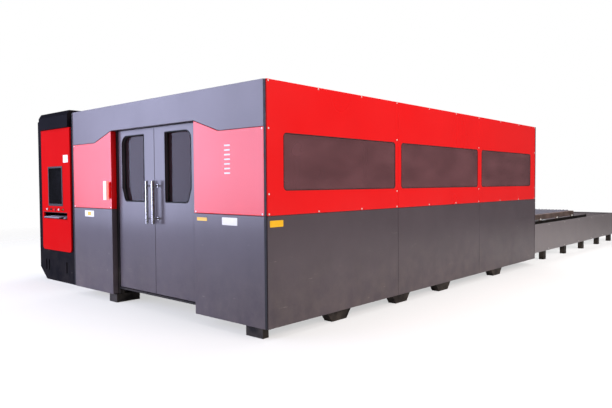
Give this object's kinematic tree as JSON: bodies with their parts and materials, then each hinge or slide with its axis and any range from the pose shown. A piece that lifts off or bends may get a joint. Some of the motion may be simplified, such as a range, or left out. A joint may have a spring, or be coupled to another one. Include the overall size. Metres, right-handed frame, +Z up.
{
  "type": "fiber laser cutting machine",
  "caption": "Enclosed sheet-metal laser cutter with hinged end doors, tinted side windows, gantry, two-level slatted pallet exchange table and operator console.",
  "frame": {"origin": "centre of the footprint on the floor", "axes": "+X along the machine from the doors to the exchange table, +Y from the windowed long side to the console side, +Z up"},
  "size_m": [11.012, 4.93, 2.305],
  "materials": {
    "signal_red": "gloss red powder coat",
    "slate_grey": "satin dark grey powder coat",
    "frame_black": "satin black paint",
    "console_dark": "fine textured dark paint",
    "tinted_glass": "brown tinted laser safety window",
    "clear_glass": "light tinted safety window",
    "stainless": "brushed stainless steel",
    "machined_steel": "machined steel",
    "mill_steel": "hot rolled steel with mill scale",
    "table_grey": "satin mid grey powder coat",
    "bed_grey": "satin machine grey paint",
    "gantry_white": "satin light grey paint",
    "screen_black": "glossy black display",
    "key_grey": "matt grey plastic",
    "cap_white": "white plastic button cap",
    "cap_black": "black plastic",
    "cap_red": "red plastic button cap",
    "key_brass": "nickel and brass",
    "head_black": "black anodised housing"
  },
  "bodies": {
    "machine": {"panel_upper_near_1": "signal_red", "panel_upper_far_1": "signal_red", "panel_lower_near_1": "slate_grey", "panel_lower_far_1": "slate_grey", "window_near_1": "tinted_glass", "panel_upper_near_2": "signal_red", "panel_upper_far_2": "signal_red", "panel_lower_near_2": "slate_grey", "panel_lower_far_2": "slate_grey", "window_near_2": "tinted_glass", "panel_upper_near_3": "signal_red", "panel_upper_far_3": "signal_red", "panel_lower_near_3": "slate_grey", "panel_lower_far_3": "slate_grey", "window_near_3": "tinted_glass", "frame_side_near": "frame_black", "frame_side_far": "frame_black", "door_frame": "frame_black", "table_frame": "frame_black", "lintel_fascia": "slate_grey", "front_grey_panel_near": "slate_grey", "front_grey_panel_far": "slate_grey", "rear_panel_upper": "slate_grey", "rear_panel_near": "slate_grey", "rear_panel_far": "slate_grey", "roof_panel": "slate_grey", "front_red_panel_near": "signal_red", "front_red_panel_far": "signal_red", "console_fascia": "signal_red", "machine_bed": "bed_grey", "x_rail_near": "machined_steel", "x_rail_far": "machined_steel", "table_panel_near": "table_grey", "table_panel_far": "table_grey", "table_panel_end": "table_grey", "console_cabinet": "console_dark", "console_hood": "console_dark", "cable_duct": "console_dark", "console_screen": "screen_black"},
    "door_near": {"door_leaf_near": "slate_grey", "door_glass_near": "clear_glass", "door_handle_near": "stainless"},
    "door_far": {"door_leaf_far": "slate_grey", "door_glass_far": "clear_glass", "door_handle_far": "stainless"},
    "gantry": {"gantry_beam": "gantry_white"},
    "carriage": {"head_carriage": "machined_steel"},
    "head": {"cutting_head": "head_black"},
    "upper_pallet": {"pallet_upper": "mill_steel"},
    "lower_pallet": {"pallet_lower": "mill_steel"},
    "drive_shaft": {"chain_drive_shaft": "machined_steel"},
    "start": {"start_button": "cap_white"},
    "reset": {"reset_button": "cap_white"},
    "stop": {"emergency_stop": "cap_red"},
    "selector": {"selector_switch": "cap_black"},
    "key": {"key_switch": "key_brass"},
    "keyboard_drawer": {"keyboard_shelf": "console_dark", "keyboard": "key_grey", "mouse": "key_grey"},
    "cabinet_door": {"console_door": "console_dark"}
  },
  "joints": [
    {"name": "door_near_swing", "type": "hinge", "parent": "machine", "child": "door_near", "pos_m": [-5.418, -1.425, 1.05], "axis": [0, 0, 1], "range_deg": [0, 100]},
    {"name": "door_far_swing", "type": "hinge", "parent": "machine", "child": "door_far", "pos_m": [-5.418, -0.065, 1.05], "axis": [0, 0, -1], "range_deg": [0, 100]},
    {"name": "gantry_travel", "type": "slide", "parent": "machine", "child": "gantry", "axis": [1, 0, 0], "range_m": [-1.66, 2.4]},
    {"name": "carriage_travel", "type": "slide", "parent": "gantry", "child": "carriage", "axis": [0, 1, 0], "range_m": [-1, 1]},
    {"name": "head_lift", "type": "slide", "parent": "carriage", "child": "head", "axis": [0, 0, -1], "range_m": [0, 0.12]},
    {"name": "upper_pallet_travel", "type": "slide", "parent": "machine", "child": "upper_pallet", "axis": [1, 0, 0], "range_m": [-5.03, 0]},
    {"name": "lower_pallet_travel", "type": "slide", "parent": "machine", "child": "lower_pallet", "axis": [1, 0, 0], "range_m": [0, 5.03]},
    {"name": "drive_shaft_spin", "type": "hinge", "parent": "machine", "child": "drive_shaft", "pos_m": [4.926, -0.7825, 0.4247], "axis": [0, 1, 0], "range_deg": [-4810, 10]},
    {"name": "start_press", "type": "slide", "parent": "machine", "child": "start", "axis": [1, 0, 0], "range_m": [0, 0.004], "stiffness_N_per_m": 400},
    {"name": "reset_press", "type": "slide", "parent": "machine", "child": "reset", "axis": [1, 0, 0], "range_m": [0, 0.004], "stiffness_N_per_m": 400},
    {"name": "stop_press", "type": "slide", "parent": "machine", "child": "stop", "axis": [1, 0, 0], "range_m": [0, 0.005], "stiffness_N_per_m": 800},
    {"name": "selector_turn", "type": "hinge", "parent": "machine", "child": "selector", "pos_m": [-5.2423, 2.04, 0.988], "axis": [-1, 0, 0], "range_deg": [-45, 45]},
    {"name": "key_turn", "type": "hinge", "parent": "machine", "child": "key", "pos_m": [-5.2423, 1.695, 0.988], "axis": [-1, 0, 0], "range_deg": [0, 90]},
    {"name": "drawer_slide", "type": "slide", "parent": "machine", "child": "keyboard_drawer", "axis": [-1, 0, 0], "range_m": [0, 0.22]},
    {"name": "cabinet_door_swing", "type": "hinge", "parent": "machine", "child": "cabinet_door", "pos_m": [-4.6017, 2.455, 1.1], "axis": [0, 0, 1], "range_deg": [0, 110]}
  ],
  "couplings": [
    {"joint": "lower_pallet_travel", "follows": "upper_pallet_travel", "ratio": -1},
    {"joint": "drive_shaft_spin", "follows": "upper_pallet_travel", "rad_per_m": 16.667}
  ]
}
